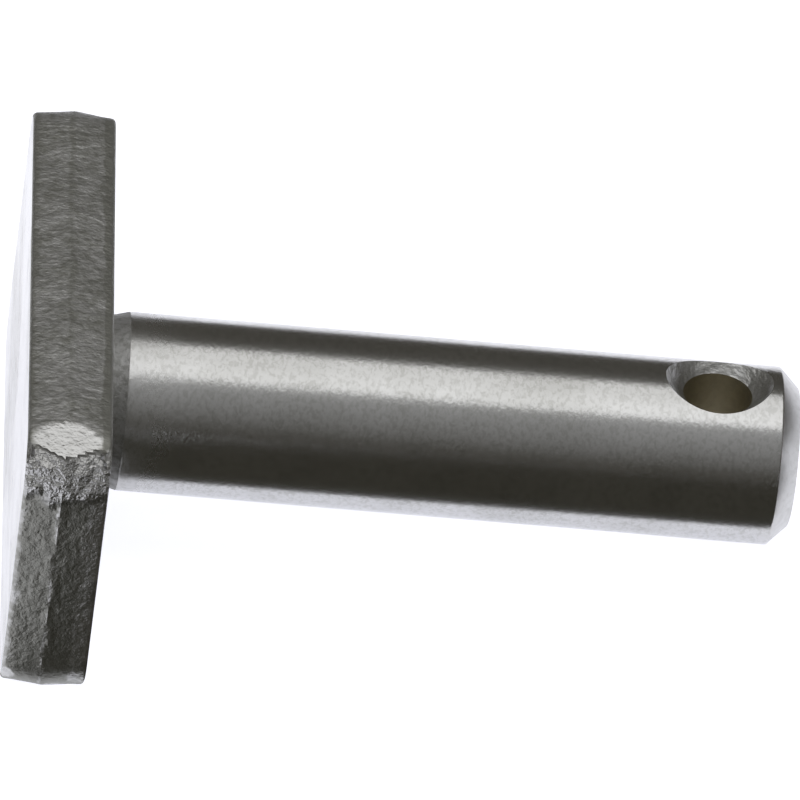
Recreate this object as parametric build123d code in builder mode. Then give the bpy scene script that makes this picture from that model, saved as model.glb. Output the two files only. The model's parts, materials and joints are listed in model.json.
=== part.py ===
from build123d import *
import os
from math import atan2, cos, degrees, radians, sin, tan

# Clevis pin: a turned shank with a countersunk cross hole and a flat oblong head, all one piece of steel.
# The head is a forged plate with draft on its edges. It bears on the clevis and its long sides stop the pin turning.
#
# Millimetres. +X runs along the pin from head to tip and +Z is up. The pin lies the way it comes to rest,
# on the widest line of one long side of its head and on the foot of its tip chamfer. The origin is on the
# surface that it lies on, under the middle of the pin's box.

# Shank
shank_diameter = 18.0
shank_length = 70.0  # from the bearing face under the head to the tip
tip_chamfer = 2.0  # at 45 degrees

# Relief turned into the shank beside the head, so that the head seats flat on the clevis
relief_depth = 0.4
relief_floor = 0.8  # width of the groove's level floor
relief_width = 2.3  # from the bearing face to where the shank has its full diameter
relief_fillet = 0.5  # between the floor and the bearing face, wider than the relief is deep so that a sharp hole seats

# Cross hole for the cotter or clip, square to the head's long sides
cross_hole_diameter = 7.0
countersink_diameter = 10.9
countersink_angle = 90.0
hole_to_tip = 8.4  # from the hole's axis to the tip

# Head
head_length = 61.5
head_width = 31.0
head_thickness = 8.4
head_corner_radius = 5.0
head_draft = 6.0  # degrees, from the widest line half way through the thickness to each face
head_edge_radius = 0.9

# Resting pose: the pin leans until its tip touches what the head's long side lies on
shank_radius = shank_diameter / 2
half_width = head_width / 2
half_thickness = head_thickness / 2
rest_angle = atan2(half_width - shank_radius, shank_length - tip_chamfer + half_thickness)
seat_height = half_width * cos(rest_angle) - half_thickness * sin(rest_angle)

# Reach of the leaning pin along X, measured from the bearing face on the shank's axis: back to the rounded
# lower edge of the head's outer face, and forward to the upper rim of the tip
draft = radians(head_draft)
edge_inset = half_width - (head_edge_radius + (half_thickness - head_edge_radius) * sin(draft)) / cos(draft)
reach_back = (head_thickness - head_edge_radius) * cos(rest_angle) + edge_inset * sin(rest_angle) + head_edge_radius
reach_forward = shank_length * cos(rest_angle) + (shank_radius - tip_chamfer) * sin(rest_angle)

# Planes: along the shank, from the centre of the bearing face
seat_centre = Vector((reach_back - reach_forward) / 2, 0, seat_height)
along = Vector(cos(rest_angle), 0, -sin(rest_angle))
upright = Vector(sin(rest_angle), 0, cos(rest_angle))
shank_axis = Axis(seat_centre, along)
turning_plane = Plane(origin=seat_centre, x_dir=along, z_dir=(0, -1, 0))
head_plane = Plane(origin=seat_centre - along * half_thickness, x_dir=(0, 1, 0), z_dir=along)
hole_centre = seat_centre + along * (shank_length - hole_to_tip)
upper_mouth = Plane(origin=hole_centre + upright * shank_radius, x_dir=along, z_dir=upright)
lower_mouth = Plane(origin=hole_centre - upright * shank_radius, x_dir=along, z_dir=-upright)

with BuildPart() as clevis_pin:
    # Head: widest half way through, where its edges come down on the surface under it
    with BuildSketch(head_plane):
        RectangleRounded(head_length, head_width, head_corner_radius)
    extrude(amount=half_thickness, both=True, taper=head_draft)
    head_faces = clevis_pin.faces().sort_by(shank_axis)
    fillet(head_faces[0].edges() + head_faces[-1].edges(), head_edge_radius)

    # Shank: turned, with its relief and tip chamfer in the one profile
    with BuildSketch(turning_plane):
        with BuildLine():
            Polyline(
                (-half_thickness, 0),
                (-half_thickness, shank_radius - relief_depth),
                (relief_floor, shank_radius - relief_depth),
                (relief_width, shank_radius),
                (shank_length - tip_chamfer, shank_radius),
                (shank_length, shank_radius - tip_chamfer),
                (shank_length, 0),
                close=True,
            )
        make_face()
    revolve(axis=shank_axis)
    bearing_face = clevis_pin.faces().filter_by(head_plane).sort_by(shank_axis)[1]
    fillet(bearing_face.inner_wires().edges(), relief_fillet)

    # Cross hole: drilled right through and countersunk from above, then countersunk from below
    for mouth, depth in ((upper_mouth, shank_diameter), (lower_mouth, shank_radius)):
        with Locations(mouth):
            CounterSinkHole(
                radius=cross_hole_diameter / 2,
                counter_sink_radius=countersink_diameter / 2,
                depth=depth,
                counter_sink_angle=countersink_angle,
            )

clevis_pin.part.label = "clevis_pin"
os.makedirs("parts", exist_ok=True)
export_step(clevis_pin.part, "parts/clevis_pin.step")

box = clevis_pin.part.bounding_box()
print("rest angle", round(degrees(rest_angle), 3), "degrees")
print("box", box.min, box.max)
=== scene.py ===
# %% [markdown]
# # A clevis pin in turned and forged steel
#
# The pin is one piece of steel. Its shank was turned, its head is a thick oblong plate with rough edges,
# and a countersunk hole near the tip takes a clip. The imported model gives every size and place. This lesson
# gives the same form a finer mesh, the small wear that a used plate has, and its finishes.

import json
import math

import bmesh
import bpy
from mathutils import Matrix, Vector, noise


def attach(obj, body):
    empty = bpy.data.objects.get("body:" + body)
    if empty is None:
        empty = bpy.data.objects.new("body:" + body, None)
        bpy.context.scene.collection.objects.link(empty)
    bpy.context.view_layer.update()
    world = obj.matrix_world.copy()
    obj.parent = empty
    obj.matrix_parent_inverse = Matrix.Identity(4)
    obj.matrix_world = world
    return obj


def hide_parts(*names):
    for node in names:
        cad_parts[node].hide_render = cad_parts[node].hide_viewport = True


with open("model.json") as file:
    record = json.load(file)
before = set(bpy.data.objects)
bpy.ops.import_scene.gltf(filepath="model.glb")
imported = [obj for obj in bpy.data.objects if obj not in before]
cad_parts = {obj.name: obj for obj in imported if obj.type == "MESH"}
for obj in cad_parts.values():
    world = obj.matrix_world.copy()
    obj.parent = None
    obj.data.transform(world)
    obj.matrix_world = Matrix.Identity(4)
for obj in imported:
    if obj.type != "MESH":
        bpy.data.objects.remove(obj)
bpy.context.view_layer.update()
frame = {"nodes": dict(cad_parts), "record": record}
MM = 0.001

# %% [markdown]
# ## Read the sizes from the frame
#
# Retyping sizes would let the two models drift apart. The record's mounts say where the shank's wall, the
# cross hole and the bearing face are, so the pin's own axes come from them. The head's size comes from how
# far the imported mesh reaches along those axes: X runs from the bearing face to the tip, Y along the head
# and Z across it. Small sizes that no mount carries, such as a corner's radius, are named where they are used.

# %% The pin's axes and sizes
mounts = {mount["name"]: mount for mount in frame["record"]["mounts"]}
shank_mount, hole_mount, face_mount = (mounts[name] for name in ("shank", "cross_hole", "bearing_face"))
along = Vector(shank_mount["axis"]).normalized()
upright = Vector(hole_mount["axis"]).normalized()
shank_middle = Vector(shank_mount["pos_m"])
to_seat = (Vector(face_mount["pos_m"]) - shank_middle).dot(along)
seat = shank_middle + to_seat * along
pin_axes = Matrix((along, upright.cross(along), upright)).transposed().to_4x4()
PIN_TO_WORLD = Matrix.Translation(seat) @ pin_axes
WORLD_TO_PIN = PIN_TO_WORLD.inverted()

packed = [WORLD_TO_PIN @ vertex.co for vertex in frame["nodes"]["clevis_pin"].data.vertices]
SHANK_RADIUS = shank_mount["dims"]["r_mm"] * MM
WALL_START = -to_seat - shank_mount["dims"]["length_mm"] * MM / 2
WALL_END = -to_seat + shank_mount["dims"]["length_mm"] * MM / 2
TIP = max(point.x for point in packed)
THICKNESS = -min(point.x for point in packed)
HALF_LENGTH = max(point.y for point in packed)
HALF_WIDTH = max(point.z for point in packed)
HOLE_PLACE = (Vector(hole_mount["pos_m"]) - seat).dot(along)
HOLE_RADIUS = hole_mount["dims"]["r_mm"] * MM
HOLE_HALF_WALL = hole_mount["dims"]["length_mm"] * MM / 2
print("head", 2 * HALF_LENGTH, 2 * HALF_WIDTH, THICKNESS, "tip at", TIP, "hole at", HOLE_PLACE)

# %% [markdown]
# ## The head's plate
#
# The plate was pressed hot between two dies, so it is widest half way through its thickness and tapers both
# ways. A rectangle with bevelled corners gives that widest line. The line is then extruded to each side in
# many small steps, drawn in by the draft, round the rim and on over the flat face. The steps give the wear,
# later on, rows of points to push about, which one tall extrusion wouldn't.

# %% Helpers for the outline
CORNER_RADIUS = 5.0 * MM
PLATE_FACE, PLATE_EDGE, SHEARED, RELIEF, TURNED, FACED, COUNTERSUNK, BORED = range(8)


def from_core(place):
    """The way to a place from the oblong's core, which is what CORNER_RADIUS off all round leaves."""
    core_half_y, core_half_z = HALF_LENGTH - CORNER_RADIUS, HALF_WIDTH - CORNER_RADIUS
    core_y = max(-core_half_y, min(core_half_y, place.y))
    core_z = max(-core_half_z, min(core_half_z, place.z))
    return Vector((0, place.y - core_y, place.z - core_z))


def outwards(place):
    """Which way is outwards, square to the oblong's outline, at a place on or near it."""
    return from_core(place).normalized()


def extrude_outline(bm, edges, step, draw_in, finish):
    """Extrudes a loop of edges along the pin by step, draws it in, and returns the new loop's edges."""
    made = bmesh.ops.extrude_edge_only(bm, edges=edges)["geom"]
    verts = {item for item in made if isinstance(item, bmesh.types.BMVert)}
    ways = [(vert, outwards(vert.co)) for vert in verts]
    for vert, way in ways:
        vert.co += Vector((step, 0, 0)) - way * draw_in
    for item in made:
        if isinstance(item, bmesh.types.BMFace):
            item.material_index = finish
    return [item for item in made if isinstance(item, bmesh.types.BMEdge) and verts.issuperset(item.verts)]


# %% Press the plate
DRAFT = math.radians(6.0)
RIM_RADIUS = 0.45 * MM
CORNER_STEPS, LONG_STEPS, SHORT_STEPS, RIM_STEPS, SIDE_ROWS = 22, 150, 62, 6, 10
MARGINS = (0.3, 0.4, 0.5, 0.7, 0.9)

half_thick = THICKNESS / 2
edge_inset = (RIM_RADIUS + (half_thick - RIM_RADIUS) * math.sin(DRAFT)) / math.cos(DRAFT)
side_height = half_thick - RIM_RADIUS + RIM_RADIUS * math.sin(DRAFT)
heights = [side_height * row / SIDE_ROWS for row in range(SIDE_ROWS + 1)]
rows = [(height, height * math.tan(DRAFT)) for height in heights]
for step in range(1, RIM_STEPS + 1):
    turn = DRAFT + (math.pi / 2 - DRAFT) * step / RIM_STEPS
    rows.append((half_thick - RIM_RADIUS * (1 - math.sin(turn)), edge_inset - RIM_RADIUS * math.cos(turn)))
for margin in MARGINS:
    rows.append((half_thick, rows[-1][1] + margin * MM))

pin = bmesh.new()
bmesh.ops.create_grid(pin, x_segments=1, y_segments=1, size=1.0, matrix=Matrix.Rotation(math.pi / 2, 4, "Y"))
bmesh.ops.scale(pin, vec=(1, HALF_LENGTH, HALF_WIDTH), verts=pin.verts)
bmesh.ops.translate(pin, vec=(-half_thick, 0, 0), verts=pin.verts)
bmesh.ops.bevel(
    pin, geom=pin.verts[:], offset=CORNER_RADIUS, offset_type="OFFSET", segments=CORNER_STEPS,
    profile=0.5, affect="VERTICES", material=-1,
)
long_edges = [edge for edge in pin.edges if edge.calc_length() > HALF_LENGTH]
short_edges = [edge for edge in pin.edges if HALF_LENGTH > edge.calc_length() > CORNER_RADIUS]
bmesh.ops.delete(pin, geom=pin.faces[:], context="FACES_ONLY")
bmesh.ops.subdivide_edges(pin, edges=long_edges, cuts=LONG_STEPS - 1)
bmesh.ops.subdivide_edges(pin, edges=short_edges, cuts=SHORT_STEPS - 1)

widest_line = pin.edges[:]
face_loops = []
for side in (-1, 1):
    loop = widest_line
    for (along_before, inset_before), (along_now, inset_now) in zip(rows, rows[1:]):
        finish = PLATE_FACE if along_now == along_before else PLATE_EDGE
        loop = extrude_outline(pin, loop, side * (along_now - along_before), inset_now - inset_before, finish)
    face_loops.append(loop)
outer_loop, bearing_loop = face_loops
bmesh.ops.contextual_create(pin, geom=outer_loop)
print("plate:", len(pin.verts), "points,", len(widest_line), "round the outline")

# %% [markdown]
# ## The turned shank
#
# A lathe makes a form by turning a profile round an axis, and so does spin. The profile starts with a
# hollow fillet at the bearing face, which is itself a quarter turn of one point. It runs along a narrow
# relief, up a short ramp to the wall, and ends in the chamfer. The corners of the chamfer are bevelled a
# little, because a turned edge is never perfectly sharp, and its light line is what the eye reads as an
# edge.

# %% Draw the profile
RELIEF_DEPTH = 0.4 * MM
RELIEF_RADIUS = SHANK_RADIUS - RELIEF_DEPTH
RELIEF_FLOOR = 0.8 * MM
RELIEF_FILLET = 0.5 * MM
EDGE_BREAK = 0.12 * MM
MERGE = 0.001 * MM
FILLET_STEPS, WALL_STEPS, AROUND = 6, 60, 512

chamfer = TIP - WALL_END
turning = bmesh.new()
start = turning.verts.new((0, RELIEF_RADIUS + RELIEF_FILLET, 0))
bmesh.ops.spin(
    turning, geom=[start], cent=(RELIEF_FILLET, RELIEF_RADIUS + RELIEF_FILLET, 0), axis=(0, 0, 1),
    angle=math.pi / 2, steps=FILLET_STEPS, use_merge=False, use_duplicate=False,
)
last = max(turning.verts, key=lambda vert: vert.co.x)
stations = (
    (RELIEF_FLOOR, RELIEF_RADIUS), (WALL_START, SHANK_RADIUS), (WALL_END, SHANK_RADIUS),
    (TIP, SHANK_RADIUS - chamfer), (TIP, SHANK_RADIUS - chamfer - 3 * EDGE_BREAK),
)
for station, radius in stations:
    point = turning.verts.new((station, radius, 0))
    turning.edges.new((last, point))
    last = point
past_ramp = [vert for vert in turning.verts if vert.co.x > WALL_START - EDGE_BREAK]
corners = [vert for vert in past_ramp if len(vert.link_edges) == 2]
bmesh.ops.bevel(
    turning, geom=corners, offset=EDGE_BREAK, offset_type="OFFSET", segments=3,
    profile=0.5, affect="VERTICES", material=-1,
)
wall = max(turning.edges, key=lambda edge: edge.calc_length())
bmesh.ops.subdivide_edges(turning, edges=[wall], cuts=WALL_STEPS - 1)
print("profile:", len(turning.verts), "points")

# %% Turn it and join it to the plate
bmesh.ops.spin(
    turning, geom=turning.verts[:] + turning.edges[:], cent=(0, 0, 0), axis=(1, 0, 0),
    angle=2 * math.pi, steps=AROUND, use_merge=True, use_duplicate=False,
)
bmesh.ops.remove_doubles(turning, verts=turning.verts[:], dist=MERGE)
for face in turning.faces:
    place = face.calc_center_median().x
    face.material_index = RELIEF if place < WALL_START else FACED if place > WALL_END else TURNED
# Two loops in one plane with one centre confuse the bridge, so the shank stands off until they are joined
STAND_OFF = Vector((HALF_LENGTH, 0, 0))
bmesh.ops.translate(turning, vec=STAND_OFF, verts=turning.verts)
turned_mesh = bpy.data.meshes.new("turned_shank")
turning.to_mesh(turned_mesh)
turning.free()
pin.from_mesh(turned_mesh)
bpy.data.meshes.remove(turned_mesh)

open_edges = [edge for edge in pin.edges if len(edge.link_faces) == 1]
at_tip = [edge for edge in open_edges if edge.verts[0].co.x > TIP]
at_face = [edge for edge in open_edges if edge not in at_tip]
bridged = bmesh.ops.bridge_loops(pin, edges=at_face)["faces"]
bmesh.ops.translate(pin, vec=-STAND_OFF, verts=[vert for vert in pin.verts if vert.co.x > STAND_OFF.x / 2])
tip_face = bmesh.ops.contextual_create(pin, geom=at_tip)["faces"]
for face in bridged:
    face.material_index = PLATE_FACE
for face in tip_face:
    face.material_index = FACED
bmesh.ops.recalc_face_normals(pin, faces=pin.faces[:])
still_open = [edge for edge in pin.edges if len(edge.link_faces) != 2]
print("closed pin:", len(pin.faces), "faces,", len(still_open), "open edges")

# %% [markdown]
# ## The countersunk cross hole
#
# A drill and then a countersink from each side leave an hourglass: a straight bore with a cone at each
# mouth. The hourglass is a profile spun round the hole's own axis. A Boolean modifier cuts it from the pin,
# because where a cone meets a cylinder the edge is a curve in space, which no other operator gives. The
# cutter is deleted afterwards.

# %% Spin the cutter
COUNTERSINK_SLOPE = 1.0
CUTTER_REACH = 3.0 * MM
CUTTER_AROUND = 144
cutter = bmesh.new()
outer_radius = HOLE_RADIUS + (SHANK_RADIUS + CUTTER_REACH - HOLE_HALF_WALL) * COUNTERSINK_SLOPE
outer_height = SHANK_RADIUS + CUTTER_REACH
last = cutter.verts.new((HOLE_PLACE, 0, -outer_height))
hourglass = (
    (outer_radius, -outer_height), (HOLE_RADIUS, -HOLE_HALF_WALL), (HOLE_RADIUS, HOLE_HALF_WALL),
    (outer_radius, outer_height), (0, outer_height),
)
for radius, height in hourglass:
    point = cutter.verts.new((HOLE_PLACE + radius, 0, height))
    cutter.edges.new((last, point))
    last = point
bmesh.ops.spin(
    cutter, geom=cutter.verts[:] + cutter.edges[:], cent=(HOLE_PLACE, 0, 0), axis=(0, 0, 1),
    angle=2 * math.pi, steps=CUTTER_AROUND, use_merge=True, use_duplicate=False,
)
bmesh.ops.remove_doubles(cutter, verts=cutter.verts[:], dist=MERGE)
bmesh.ops.recalc_face_normals(cutter, faces=cutter.faces[:])
for face in cutter.faces:
    in_bore = abs(face.calc_center_median().z) < HOLE_HALF_WALL
    face.material_index = BORED if in_bore else COUNTERSUNK
print("cutter:", len(cutter.faces), "faces")


# %% Cut the hole
def object_from(bm, name):
    """A mesh object from a bmesh, which is freed."""
    mesh = bpy.data.meshes.new(name)
    bm.to_mesh(mesh)
    bm.free()
    made = bpy.data.objects.new(name, mesh)
    bpy.context.scene.collection.objects.link(made)
    return made


solid = object_from(pin, "pin_solid")
hourglass_solid = object_from(cutter, "hole_cutter")
cut = solid.modifiers.new("cross hole", "BOOLEAN")
cut.operation = "DIFFERENCE"
cut.solver = "EXACT"
cut.material_mode = "INDEX"
cut.object = hourglass_solid
depsgraph = bpy.context.evaluated_depsgraph_get()
drilled_mesh = bpy.data.meshes.new_from_object(solid.evaluated_get(depsgraph))
pin = bmesh.new()
pin.from_mesh(drilled_mesh)
for spare in (solid, hourglass_solid):
    bpy.data.objects.remove(spare)
bpy.data.meshes.remove(drilled_mesh)
still_open = [edge for edge in pin.edges if len(edge.link_faces) != 2]
print("drilled pin:", len(pin.faces), "faces,", len(still_open), "open edges")

# %% [markdown]
# ## Wear on the head
#
# The plate's sides aren't true: the press and the shears left them wavy, and a corner has been knocked flat
# and scraped. These dents are real, so they move the mesh and not only its shading. Each is a small rule on
# where a point lies. A wave is a smooth noise that pushes points in or out. A knock is a plane that nothing
# may stand out of.

# %% Rules of wear
# Waves and rough edges are (height, size) of a noise. The knocked flat is the way it faces and a point on it.
# A chip is the way it faces, a corner of the plate and how deep the chip goes there.
WAVES = ((0.11 * MM, 7.5 * MM), (0.05 * MM, 2.4 * MM), (0.022 * MM, 0.9 * MM))
WAVES_FADE = (0.8 * MM, 3.0 * MM)
SCRAPE_HEIGHT, SCRAPE_SIZE = 0.10 * MM, 0.75 * MM
SCRAPE_UP, SCRAPE_OUT = (6.5 * MM, 10.5 * MM), (28.2 * MM, 29.8 * MM)
TEAR_PLACE, TEAR_HEIGHT, TEAR_WIDTH = -4.55 * MM, 0.13 * MM, 0.38 * MM
TEAR_WANDERS = ((0.45 * MM, 5 * MM), (0.2 * MM, 1.4 * MM))
TEAR_FACING, SHEARED_FACING = 0.7, 0.75
KNOCKED = Vector((0, -0.309, 0.951))
KNOCKED_FROM = Vector((0, -24.9, 15.5)) * MM
KNOCKED_ARCH, KNOCKED_CREST = 0.16 * MM, -0.45 * THICKNESS
KNOCKED_RAGGED, CHIP_RAGGED = (0.05 * MM, 1.1 * MM), (0.25 * MM, 1.3 * MM)
SHOWS_FROM = 0.035 * MM
BRIGHT_UP, BRIGHT_RAGGED, BRIGHT_BLEND = 10.0 * MM, 1.6 * MM, 0.8 * MM
BRIGHT_OUT = (28.0 * MM, 28.6 * MM)
CHIPS = (
    (Vector((0.45, -0.55, 0.70)).normalized(), Vector((0, -29.58, 13.71)) * MM, 0.55 * MM),
    (Vector((-0.50, -0.55, 0.67)).normalized(), Vector((-8.4, -29.58, 13.71)) * MM, 0.50 * MM),
    (Vector((-0.45, -0.80, -0.40)).normalized(), Vector((-8.4, -29.6, -13.7)) * MM, 0.60 * MM),
)


def smooth_step(low, high, value):
    """0 below low, 1 above high, and a smooth rise between them."""
    share = max(0.0, min(1.0, (value - low) / (high - low)))
    return share * share * (3 - 2 * share)


def depth_inside(place):
    """How far inside the widest outline a place is."""
    return CORNER_RADIUS - from_core(place).length


def worn(place):
    """Where a point of the head goes once worn, and how much it is knocked flat and scraped, from 0 to 1."""
    knocked = 0.0
    near_edge = 1 - smooth_step(*WAVES_FADE, depth_inside(place))
    way = outwards(place)
    swell = sum(height * noise.noise(place / size) for height, size in WAVES)
    torn_up = smooth_step(*SCRAPE_UP, place.z) * smooth_step(*SCRAPE_OUT, -place.y)
    swell += SCRAPE_HEIGHT * torn_up * noise.noise(place / SCRAPE_SIZE)
    if abs(way.y) > TEAR_FACING:
        tear = TEAR_PLACE
        for reach, size in TEAR_WANDERS:
            tear += reach * noise.noise(Vector((0, way.y, place.z / size)))
        swell += TEAR_HEIGHT * max(0.0, 1 - abs(place.x - tear) / TEAR_WIDTH)
        swell -= 0.5 * TEAR_HEIGHT * smooth_step(0, TEAR_WIDTH, place.x - tear)
    place = place + way * swell * near_edge
    arch = KNOCKED_ARCH * ((place.x - KNOCKED_CREST) / half_thick) ** 2
    reach, size = KNOCKED_RAGGED
    stands_out = (place - KNOCKED_FROM).dot(KNOCKED) - arch - reach * noise.noise(place / size)
    if stands_out > 0 and place.y < 0:
        place = place - KNOCKED * stands_out
        knocked = smooth_step(0, SHOWS_FROM, stands_out)
    reach, size = CHIP_RAGGED
    for facing, corner, depth in CHIPS:
        stands_out = (place - corner).dot(facing) + depth + reach * noise.noise(place / size)
        if stands_out > 0:
            place = place - facing * stands_out
            knocked = max(knocked, smooth_step(0, SHOWS_FROM, stands_out))
    scrape_ends = BRIGHT_UP + BRIGHT_RAGGED * noise.noise(place / BRIGHT_RAGGED)
    scraped = smooth_step(scrape_ends - BRIGHT_BLEND, scrape_ends + BRIGHT_BLEND, place.z)
    scraped *= smooth_step(*BRIGHT_OUT, -place.y) * (1 - knocked)
    return place, knocked, scraped


# %% Wear the head down
CREASE = math.radians(32)
CLEAR_OF_FILLET = RELIEF_RADIUS + RELIEF_FILLET + 0.1 * MM

knocked_layer = pin.verts.layers.float.new("knocked")
scraped_layer = pin.verts.layers.float.new("scraped")
for vert in pin.verts:
    if vert.co.x < RELIEF_FILLET / 2 and vert.co.yz.length > CLEAR_OF_FILLET:
        vert.co, vert[knocked_layer], vert[scraped_layer] = worn(vert.co)
pin.normal_update()
for face in pin.faces:
    if face.material_index == PLATE_EDGE and abs(outwards(face.calc_center_median()).y) > SHEARED_FACING:
        face.material_index = SHEARED
for edge in pin.edges:
    edge.smooth = edge.calc_face_angle(0) < CREASE
print("sheared faces:", sum(face.material_index == SHEARED for face in pin.faces))

# %% [markdown]
# ## Place the pin
#
# The mesh has been in the pin's own axes so far, where lathe work and drilling are simple. Now it moves to
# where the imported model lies: the head leans on its lower long side and the tip's chamfer touches the
# floor. The place goes into the mesh itself, so the object stays unturned at the origin. Worn points that
# would dip into the floor are held on it.

# %% Move the mesh and make the piece
bmesh.ops.transform(pin, matrix=PIN_TO_WORLD, verts=pin.verts)
for vert in pin.verts:
    vert.co.z = max(vert.co.z, 0.0)
bmesh.ops.recalc_face_normals(pin, faces=pin.faces[:])
for face in pin.faces:
    face.smooth = True
piece = object_from(pin, "clevis_pin_steel")
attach(piece, "root")
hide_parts("clevis_pin")
print("piece:", len(piece.data.polygons), "faces")

# %% [markdown]
# ## Finishes
#
# Every surface is the same steel, but each was left by a different tool: the press, the shears, the lathe
# and the drill. So the finishes share their colours and differ in roughness and in grain. Two effects come
# again and again, so each is a node group: a mottle, which is a soft mask of darker and lighter patches,
# and a grain, which is fine relief. Both read the pin's own axes, so a grain can run round the shank or
# along the head. How far each point was knocked or scraped is written on the mesh itself, and the finishes
# of the plate's sides read it.

# %% Node helpers
STEEL = (0.56, 0.56, 0.555, 1.0)
STAINED = (0.30, 0.30, 0.275, 1.0)
EVEN = (1.0, 1.0, 1.0)
# Sockets of a Mix node that mixes colours: its two colours, and its result
MIX_FIRST, MIX_SECOND, MIX_RESULT = 6, 7, 2


def new_group(name, inputs, outputs):
    """An empty shader node group with named sockets, and its input and output nodes."""
    group = bpy.data.node_groups.new(name, "ShaderNodeTree")
    for label, kind, value in inputs:
        socket = group.interface.new_socket(label, in_out="INPUT", socket_type=kind)
        if value is not None:
            socket.default_value = value
    for label, kind in outputs:
        group.interface.new_socket(label, in_out="OUTPUT", socket_type=kind)
    return group, group.nodes.new("NodeGroupInput"), group.nodes.new("NodeGroupOutput")


def add_node(tree, kind, links=(), **settings):
    """A new node. settings are values of its sockets, fields are its own, and links lead to its sockets."""
    node = tree.nodes.new(kind)
    fields = settings.pop("fields", {})
    for field, value in fields.items():
        setattr(node, field, value)
    for source, socket in links:
        tree.links.new(source, node.inputs[socket])
    for socket, value in settings.items():
        node.inputs[socket.replace("_", " ")].default_value = value
    return node


# %% Mottle and grain groups
FLOAT, VECTOR = "NodeSocketFloat", "NodeSocketVector"

mottle_group, mottle_in, mottle_out = new_group(
    "mottle",
    [("Vector", VECTOR, None), ("Scale", FLOAT, 120.0), ("Low", FLOAT, 0.4), ("High", FLOAT, 0.6)],
    [("Mask", FLOAT)],
)
patches = add_node(
    mottle_group, "ShaderNodeTexNoise",
    [(mottle_in.outputs["Vector"], "Vector"), (mottle_in.outputs["Scale"], "Scale")],
    Detail=5.0, Roughness=0.62, Distortion=0.4,
)
spread = add_node(
    mottle_group, "ShaderNodeMapRange",
    [
        (patches.outputs["Fac"], "Value"),
        (mottle_in.outputs["Low"], "From Min"), (mottle_in.outputs["High"], "From Max"),
    ],
    fields={"interpolation_type": "SMOOTHSTEP"},
)
mottle_group.links.new(spread.outputs["Result"], mottle_out.inputs["Mask"])

grain_group, grain_in, grain_out = new_group(
    "grain",
    [("Vector", VECTOR, None), ("Scale", FLOAT, 2000.0), ("Stretch", VECTOR, EVEN), ("Height", FLOAT, 0.01)],
    [("Relief", FLOAT)],
)
stretched = add_node(
    grain_group, "ShaderNodeVectorMath",
    [(grain_in.outputs["Vector"], 0), (grain_in.outputs["Stretch"], 1)], fields={"operation": "MULTIPLY"},
)
fine = add_node(
    grain_group, "ShaderNodeTexNoise",
    [(stretched.outputs[0], "Vector"), (grain_in.outputs["Scale"], "Scale")],
    Detail=3.0, Roughness=0.6,
)
raised = add_node(
    grain_group, "ShaderNodeMath", [(fine.outputs["Fac"], 0), (grain_in.outputs["Height"], 1)],
    fields={"operation": "MULTIPLY"},
)
grain_group.links.new(raised.outputs[0], grain_out.inputs["Relief"])
print("groups:", [group.name for group in bpy.data.node_groups])


# %% One steel finish
def group_node(tree, group, vector, **values):
    """A node that holds a group, fed with a vector and with its own values."""
    node = add_node(tree, "ShaderNodeGroup", fields={"node_tree": group})
    tree.links.new(vector, node.inputs["Vector"])
    for label, value in values.items():
        node.inputs[label].default_value = value
    return node


def scaled(tree, value, factor):
    """factor * value."""
    node = add_node(tree, "ShaderNodeMath", [(value, 0)], fields={"operation": "MULTIPLY"})
    node.inputs[1].default_value = factor
    return node.outputs[0]


def scaled_sum(tree, first, second, factor):
    """first + factor * second."""
    node = add_node(tree, "ShaderNodeMath", [(second, 0), (first, 2)], fields={"operation": "MULTIPLY_ADD"})
    node.inputs[1].default_value = factor
    return node.outputs[0]


def product(tree, first, second):
    """first * second."""
    links = [(first, 0), (second, 1)]
    return add_node(tree, "ShaderNodeMath", links, fields={"operation": "MULTIPLY"}).outputs[0]


def across_plate(tree, own, along_pin, bands):
    """Stain in wandering bands across the plate's thickness, as (share of the thickness, stain) stops."""
    wobble = add_node(tree, "ShaderNodeTexNoise", [(own, "Vector")], Scale=170.0, Detail=4.0, Roughness=0.6)
    across = add_node(tree, "ShaderNodeMapRange", [(along_pin, "Value")], From_Min=-THICKNESS, From_Max=0.0)
    wandering = scaled_sum(tree, across.outputs["Result"], wobble.outputs["Fac"], BANDS_WANDER)
    ramp = add_node(tree, "ShaderNodeValToRGB", [(wandering, "Fac")])
    elements = ramp.color_ramp.elements
    for index, (stop, level) in enumerate(bands):
        # The noise is 0.5 on average, so the stops move along by half of what it adds
        place = stop + BANDS_WANDER / 2
        element = elements[index] if index < 2 else elements.new(place)
        element.position = place
        element.color = (level, level, level, 1.0)
    return ramp.outputs["Color"]


BANDS_WANDER = 0.22
KNOCKED_CLEANS, SCRAPED_CLEANS = 0.8, 0.95
KNOCKED_ROUGHNESS = 0.3
GOUGE_SCALE, GOUGE_HEIGHT = 750.0, 0.9
ROUGHER_WHERE_STAINED = 0.1


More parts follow.
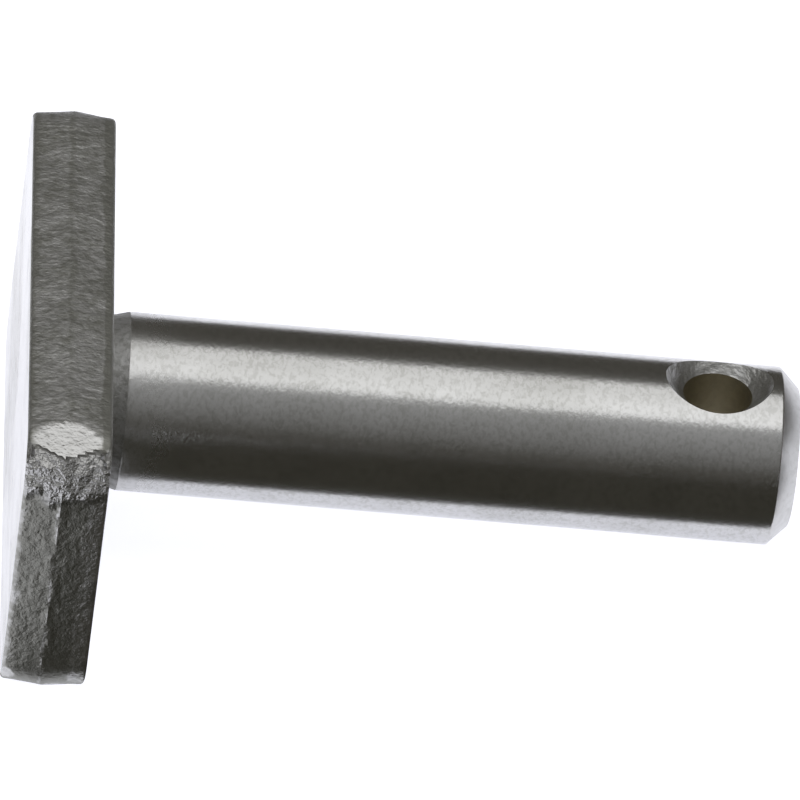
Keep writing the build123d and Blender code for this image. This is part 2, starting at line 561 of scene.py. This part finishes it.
def steel_finish(
    name, roughness, patches, speckle, grains,
    fade=None, bands=None, worn_edges=False, steel=STEEL, stained=STAINED,
):
    """A steel finish in the pin's own axes.

    patches and speckle are (scale, stretch, low, high, how much they stain). grains are (scale, stretch,
    height in millimetres). fade is (from, to, more): the finish is rougher by more at the first place along
    the pin, and no longer at the second. bands are stops for across_plate. worn_edges reads how knocked and
    scraped the mesh is.
    """
    material = bpy.data.materials.new(name)
    material.use_nodes = True
    tree = material.node_tree
    shader = tree.nodes["Principled BSDF"]
    shader.inputs["Metallic"].default_value = 1.0
    place = add_node(tree, "ShaderNodeTexCoord")
    own = add_node(
        tree, "ShaderNodeMapping", [(place.outputs["Object"], "Vector")], fields={"vector_type": "TEXTURE"},
        Location=PIN_TO_WORLD.to_translation(), Rotation=PIN_TO_WORLD.to_euler(),
    ).outputs["Vector"]
    along_pin = add_node(tree, "ShaderNodeSeparateXYZ", [(own, "Vector")]).outputs["X"]

    masks = []
    for scale, stretch, low, high, _ in (patches, speckle):
        drawn = add_node(tree, "ShaderNodeVectorMath", [(own, 0)], fields={"operation": "MULTIPLY"})
        drawn.inputs[1].default_value = stretch
        mottle = group_node(tree, mottle_group, drawn.outputs[0], Scale=scale, Low=low, High=high)
        masks.append(mottle.outputs["Mask"])
    stain = scaled_sum(tree, scaled(tree, masks[0], patches[-1]), masks[1], speckle[-1])
    if bands:
        stain = scaled_sum(tree, stain, across_plate(tree, own, along_pin, bands), 1.0)
    if worn_edges:
        knocked, scraped = (
            add_node(tree, "ShaderNodeAttribute", fields={"attribute_name": layer}).outputs["Fac"]
            for layer in ("knocked", "scraped")
        )
        cleaned = scaled_sum(tree, scaled(tree, knocked, KNOCKED_CLEANS), scraped, SCRAPED_CLEANS)
        left = add_node(
            tree, "ShaderNodeMath", [(cleaned, 1)], fields={"operation": "SUBTRACT", "use_clamp": True},
        )
        left.inputs[0].default_value = 1.0
        stain = product(tree, stain, left.outputs[0])
    colour = add_node(tree, "ShaderNodeMix", [(stain, "Factor")], fields={"data_type": "RGBA"})
    colour.inputs[MIX_FIRST].default_value = steel
    colour.inputs[MIX_SECOND].default_value = stained
    tree.links.new(colour.outputs[MIX_RESULT], shader.inputs["Base Color"])

    rough = add_node(
        tree, "ShaderNodeMapRange", [(stain, "Value")],
        To_Min=roughness, To_Max=roughness + ROUGHER_WHERE_STAINED,
    ).outputs["Result"]
    if fade:
        more = add_node(
            tree, "ShaderNodeMapRange", [(along_pin, "Value")], fields={"interpolation_type": "SMOOTHSTEP"},
            From_Min=fade[0], From_Max=fade[1], To_Min=fade[2], To_Max=0.0,
        ).outputs["Result"]
        rough = scaled_sum(tree, rough, more, 1.0)
    if worn_edges:
        rough = scaled_sum(tree, rough, knocked, KNOCKED_ROUGHNESS - roughness)
    tree.links.new(rough, shader.inputs["Roughness"])

    reliefs = [
        group_node(tree, grain_group, own, Scale=scale, Stretch=stretch, Height=height).outputs["Relief"]
        for scale, stretch, height in grains
    ]
    if worn_edges:
        gouges = group_node(tree, grain_group, own, Scale=GOUGE_SCALE, Stretch=EVEN, Height=GOUGE_HEIGHT)
        reliefs.append(product(tree, gouges.outputs["Relief"], scraped))
    height = reliefs[0]
    for relief in reliefs[1:]:
        height = scaled_sum(tree, height, relief, 1.0)
    bump = add_node(tree, "ShaderNodeBump", [(height, "Height")], Distance=MM)
    tree.links.new(bump.outputs["Normal"], shader.inputs["Normal"])
    return material


# %% The eight finishes
BORE_BROWN = (0.46, 0.42, 0.31, 1.0)
BORE_SHADE = (0.36, 0.33, 0.24, 1.0)
finishes = (
    steel_finish(
        "steel_plate_face", roughness=0.20,
        patches=(90.0, (1, 0.35, 1), 0.42, 0.62, 0.5), speckle=(900.0, (1, 0.3, 1), 0.5, 0.65, 0.3),
        grains=[(700.0, (1, 0.25, 1), 0.05)],
    ),
    steel_finish(
        "steel_plate_edge", roughness=0.5,
        patches=(150.0, EVEN, 0.38, 0.62, 0.45), speckle=(1100.0, (1, 1.4, 1), 0.42, 0.6, 0.55),
        grains=[(1100.0, (0.9, 1.3, 1.1), 0.14), (420.0, EVEN, 0.19)],
        bands=((0.0, 0.9), (0.1, 0.1), (0.43, 0.0), (0.47, 0.35), (0.53, 0.0), (0.86, 0.1), (1.0, 1.0)),
        worn_edges=True,
    ),
    steel_finish(
        "steel_sheared", roughness=0.42,
        patches=(200.0, EVEN, 0.4, 0.62, 0.4), speckle=(1200.0, EVEN, 0.42, 0.6, 0.5),
        grains=[(1300.0, EVEN, 0.2), (420.0, EVEN, 0.16)],
        bands=(
            (0.0, 0.0), (0.12, 1.0), (0.42, 0.9), (0.455, 0.0),
            (0.49, 1.0), (0.72, 1.0), (0.8, 0.0), (1.0, 0.0),
        ),
        worn_edges=True,
    ),
    steel_finish(
        "steel_relief", roughness=0.58,
        patches=(200.0, EVEN, 0.4, 0.62, 0.3), speckle=(1500.0, EVEN, 0.45, 0.6, 0.4),
        grains=[(1500.0, EVEN, 0.08)],
    ),
    steel_finish(
        "steel_turned", roughness=0.2,
        patches=(75.0, EVEN, 0.42, 0.66, 0.22), speckle=(1500.0, (1.5, 1, 1), 0.45, 0.62, 0.28),
        grains=[(1700.0, (1.6, 1, 1), 0.022)], fade=(2 * MM, 10 * MM, 0.08),
    ),
    steel_finish(
        "steel_faced", roughness=0.3,
        patches=(150.0, EVEN, 0.45, 0.65, 0.2), speckle=(1500.0, EVEN, 0.45, 0.65, 0.2),
        grains=[(2200.0, EVEN, 0.01)],
    ),
    steel_finish(
        "steel_countersunk", roughness=0.36,
        patches=(260.0, EVEN, 0.4, 0.6, 0.15), speckle=(1200.0, (1, 1, 1.6), 0.42, 0.6, 0.4),
        grains=[(900.0, (1, 1, 1.6), 0.16)],
    ),
    steel_finish(
        "steel_bored", roughness=0.5,
        patches=(260.0, EVEN, 0.4, 0.6, 0.3), speckle=(1200.0, EVEN, 0.42, 0.6, 0.3),
        grains=[(900.0, EVEN, 0.03)], steel=BORE_BROWN, stained=BORE_SHADE,
    ),
)
for finish in finishes:
    piece.data.materials.append(finish)
print("finishes:", [finish.name for finish in finishes])

# %% [markdown]
# ## Floor, world and light
#
# The pin lies on a plain pale floor. The floor's glow is seen by the camera and in reflections, but it
# lights nothing, so the floor is white and still takes the pin's shadow. Metal shows its surroundings, so
# they are as plain as they can be: a dim room, one large soft box overhead, and a dark card in front of the
# pin, low down, which gives the round shank its dark side.

# %% Floor
FLOOR_HALF = 2.0
FLOOR_DROP = 0.01 * MM
FLOOR_GLOW = 0.9


def glow_for_eye_and_gloss(tree, strength):
    """A value that is strength for camera, glossy and transmission rays, and nothing for the rest."""
    path = tree.nodes.new("ShaderNodeLightPath")
    total = path.outputs["Is Camera Ray"]
    for other in ("Is Glossy Ray", "Is Transmission Ray"):
        add = tree.nodes.new("ShaderNodeMath")
        add.operation = "ADD"
        add.use_clamp = True
        tree.links.new(total, add.inputs[0])
        tree.links.new(path.outputs[other], add.inputs[1])
        total = add.outputs[0]
    return scaled(tree, total, strength)


floor_material = bpy.data.materials.new("studio_floor")
floor_material.use_nodes = True
floor_tree = floor_material.node_tree
floor_shader = floor_tree.nodes["Principled BSDF"]
floor_shader.inputs["Base Color"].default_value = (0.86, 0.86, 0.88, 1.0)
floor_shader.inputs["Roughness"].default_value = 0.9
floor_shader.inputs["Specular IOR Level"].default_value = 0.0
floor_shader.inputs["Emission Color"].default_value = (0.90, 0.91, 1.0, 1.0)
floor_tree.links.new(glow_for_eye_and_gloss(floor_tree, FLOOR_GLOW), floor_shader.inputs["Emission Strength"])

floor_bm = bmesh.new()
bmesh.ops.create_grid(floor_bm, x_segments=1, y_segments=1, size=FLOOR_HALF)
bmesh.ops.translate(floor_bm, vec=(0, 0, -FLOOR_DROP), verts=floor_bm.verts)
floor = object_from(floor_bm, "floor")
floor.data.materials.append(floor_material)
print("floor:", 2 * FLOOR_HALF, "m across")

# %% World and lamps
ROOM = (0.088, 0.083, 0.072, 1.0)
FRONT_SKY = (0.42, 0.42, 0.42, 1.0)
# The sky brightens from the first to the second of these parts of its direction
FRONT_FROM, FRONT_TO = 0.3, -0.4
RAISED_FROM, RAISED_TO = 0.1, 0.9

world = bpy.data.worlds.new("studio")
bpy.context.scene.world = world
world.use_nodes = True
sky = world.node_tree
towards = add_node(sky, "ShaderNodeTexCoord")
parts = add_node(sky, "ShaderNodeSeparateXYZ", [(towards.outputs["Generated"], "Vector")])
in_front = add_node(
    sky, "ShaderNodeMapRange", [(parts.outputs["Y"], "Value")], fields={"interpolation_type": "SMOOTHSTEP"},
    From_Min=FRONT_FROM, From_Max=FRONT_TO, To_Min=0.0, To_Max=1.0,
)
raised_sky = add_node(
    sky, "ShaderNodeMapRange", [(parts.outputs["Z"], "Value")],
    From_Min=RAISED_FROM, From_Max=RAISED_TO, To_Min=0.0, To_Max=1.0,
)
sky_share = product(sky, in_front.outputs["Result"], raised_sky.outputs["Result"])
sky_colour = add_node(sky, "ShaderNodeMix", [(sky_share, "Factor")], fields={"data_type": "RGBA"})
sky_colour.inputs[MIX_FIRST].default_value = ROOM
sky_colour.inputs[MIX_SECOND].default_value = FRONT_SKY
sky.links.new(sky_colour.outputs[MIX_RESULT], sky.nodes["Background"].inputs["Color"])


BOX_SIZE = (1.2, 0.75)
BOX_PLACE = Vector((0, 0.095, 0.8))
BOX_AIM = Vector((0, 0.095, 0))
BOX_RADIANCE = 1.03

lamp = bpy.data.lights.new("overhead_soft_box", "AREA")
lamp.shape = "RECTANGLE"
lamp.size, lamp.size_y = BOX_SIZE
# This energy gives the lamp's face that radiance
lamp.energy = math.pi * BOX_SIZE[0] * BOX_SIZE[1] * BOX_RADIANCE
soft_box = bpy.data.objects.new("overhead_soft_box", lamp)
soft_box.location = BOX_PLACE
soft_box.rotation_euler = (BOX_AIM - BOX_PLACE).to_track_quat("-Z", "Y").to_euler()
bpy.context.scene.collection.objects.link(soft_box)
print("soft box:", round(lamp.energy, 3), "W")

# %% Dark card
card_material = bpy.data.materials.new("dark_card")
card_material.use_nodes = True
card_shader = card_material.node_tree.nodes["Principled BSDF"]
card_shader.inputs["Base Color"].default_value = (0.0, 0.0, 0.0, 1.0)
card_shader.inputs["Specular IOR Level"].default_value = 0.0
card_shader.inputs["Emission Color"].default_value = (0.055, 0.052, 0.042, 1.0)
card_shader.inputs["Emission Strength"].default_value = 1.0
CARD_HEIGHT = 0.5 * MM
CARD_END = 300 * MM
# Each strip runs from its own low X to CARD_END, and from its low Y to its high Y
CARD_STRIPS = ((-31.0 * MM, -31.0 * MM, -10.4 * MM), (-41.0 * MM, -1600.0 * MM, -31.0 * MM))
card_bm = bmesh.new()
for low_x, low_y, high_y in CARD_STRIPS:
    made = bmesh.ops.create_grid(card_bm, x_segments=1, y_segments=1, size=0.5)["verts"]
    bmesh.ops.scale(card_bm, vec=(CARD_END - low_x, high_y - low_y, 1), verts=made)
    middle = Vector(((CARD_END + low_x) / 2, (high_y + low_y) / 2, CARD_HEIGHT))
    bmesh.ops.translate(card_bm, vec=middle, verts=made)
card = object_from(card_bm, "dark_card")
card.data.materials.append(card_material)
card.visible_camera = False
card.visible_diffuse = False
card.visible_shadow = False
card.visible_transmission = False
print("dark card:", len(CARD_STRIPS), "strips")

# %% [markdown]
# ## Camera
#
# A long lens from well back keeps the pin's lines nearly parallel. The camera looks down on the pin from
# the front, a little turned and rolled, because the pin was laid by hand and not squared up.

# %% Camera
AZIMUTH, ELEVATION, ROLL = math.radians(1.464), math.radians(36.653), math.radians(1.555)
AIM = Vector((-0.000247, -0.000342, 0.015635))
DISTANCE = 1.5
HALF_VIEW = math.radians(1.53248)

forward = Vector((
    math.sin(AZIMUTH) * math.cos(ELEVATION), math.cos(AZIMUTH) * math.cos(ELEVATION), -math.sin(ELEVATION),
))
level_right = Vector((math.cos(AZIMUTH), -math.sin(AZIMUTH), 0))
level_up = level_right.cross(forward)
right = math.cos(ROLL) * level_right + math.sin(ROLL) * level_up
up = math.cos(ROLL) * level_up - math.sin(ROLL) * level_right
camera_data = bpy.data.cameras.new("camera")
camera_data.lens = camera_data.sensor_width / (2 * math.tan(HALF_VIEW))
camera = bpy.data.objects.new("camera", camera_data)
turned = Matrix((right, up, -forward)).transposed().to_4x4()
camera.matrix_world = Matrix.Translation(AIM - forward * DISTANCE) @ turned
bpy.context.scene.collection.objects.link(camera)
bpy.context.scene.camera = camera
bpy.context.scene.view_settings.view_transform = "Standard"
print("lens:", camera_data.lens)
